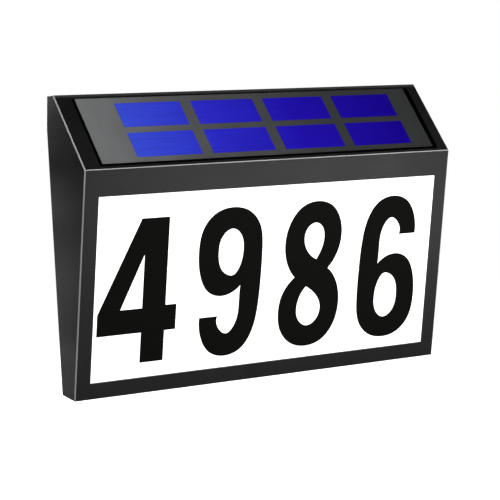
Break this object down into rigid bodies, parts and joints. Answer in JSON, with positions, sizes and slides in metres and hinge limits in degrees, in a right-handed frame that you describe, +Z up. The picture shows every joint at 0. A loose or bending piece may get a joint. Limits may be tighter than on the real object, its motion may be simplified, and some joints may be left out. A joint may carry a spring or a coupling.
{
  "type": "illuminated house number sign",
  "caption": "Wedge-shaped wall sign with a lit opal window for house numerals and a sloped solar panel on top, hung on keyholes.",
  "frame": {"origin": "midway between the round entries of the two keyholes, on the wall plane", "axes": "+X to the viewer's right, +Y into the wall, +Z up; the sign faces -Y"},
  "size_m": [0.294, 0.0446, 0.1916],
  "materials": {
    "black_powder_coat": "satin black powder coat with a fine texture",
    "zinc_steel": "zinc plated sheet steel",
    "black_rubber": "matt black rubber",
    "steel": "plain steel",
    "aluminium_rivet": "satin aluminium",
    "opal_acrylic": "white opal acrylic, evenly lit",
    "black_vinyl": "matt black sticker vinyl",
    "clear_cover": "clear glossy cover",
    "blue_cell": "saturated blue solar cell",
    "grey_board": "dark grey board",
    "tin_ribbon": "tinned copper ribbon, dulled",
    "black_abs": "black moulded plastic",
    "white_reflector": "matt white paint",
    "white_board": "white solder mask",
    "led": "white lamp with yellow phosphor",
    "green_board": "green solder mask",
    "brass": "turned brass",
    "ferrite": "dark ferrite",
    "capacitor_sleeve": "dark sleeve",
    "cream_nylon": "natural nylon",
    "battery_wrap": "plain green wrap",
    "black_gloss_plastic": "glossy black plastic",
    "button_red": "red plastic cap",
    "wire_red": "wire insulation",
    "wire_white": "wire insulation"
  },
  "bodies": {
    "housing": {"back_frame": "zinc_steel", "back_gasket": "black_rubber", "back_plate": "black_powder_coat", "back_plate_screws": "steel", "battery": "battery_wrap", "battery_box": "black_abs", "battery_contact": "steel", "battery_seal": "black_rubber", "battery_spring": "steel", "battery_wires": "wire_red", "board_screws": "steel", "board_standoffs": "brass", "button_spring": "steel", "capacitors": "capacitor_sleeve", "cell_ribbons": "tin_ribbon", "charge_chip": "black_abs", "control_board": "green_board", "diffuser": "opal_acrylic", "diffuser_gasket": "black_rubber", "diffuser_retainer": "zinc_steel", "digit_1": "black_vinyl", "digit_2": "black_vinyl", "digit_3": "black_vinyl", "digit_4": "black_vinyl", "door_hinge_pin": "steel", "housing": "black_powder_coat", "inductor": "ferrite", "keyhole_pockets": "zinc_steel", "led_board": "white_board", "led_board_rivets": "aluminium_rivet", "led_wires": "wire_white", "leds": "led", "panel_gasket": "black_rubber", "reflector": "white_reflector", "reflector_rivets": "aluminium_rivet", "retainer_nuts": "steel", "solar_board": "grey_board", "solar_cells": "blue_cell", "solar_cover": "clear_cover", "solar_tray": "black_abs", "solar_wires": "wire_red", "switch_body": "black_gloss_plastic", "switch_nut": "brass", "switch_seal": "black_rubber", "switch_wires": "wire_white", "tray_nuts": "steel", "weld_studs": "zinc_steel", "wire_connectors": "cream_nylon"},
    "power_button": {"power_button": "button_red"},
    "battery_door": {"battery_door": "black_powder_coat"}
  },
  "joints": [
    {"name": "button_press", "type": "slide", "parent": "housing", "child": "power_button", "axis": [-1, 0, 0], "range_m": [0, 0.0015], "stiffness_N_per_m": 400, "springref_m": -0.003, "deforming": ["button_spring"]},
    {"name": "door_hinge", "type": "hinge", "parent": "housing", "child": "battery_door", "pos_m": [-0.03, -0.0022, -0.019], "axis": [-1, 0, 0], "range_deg": [0, 90]}
  ]
}
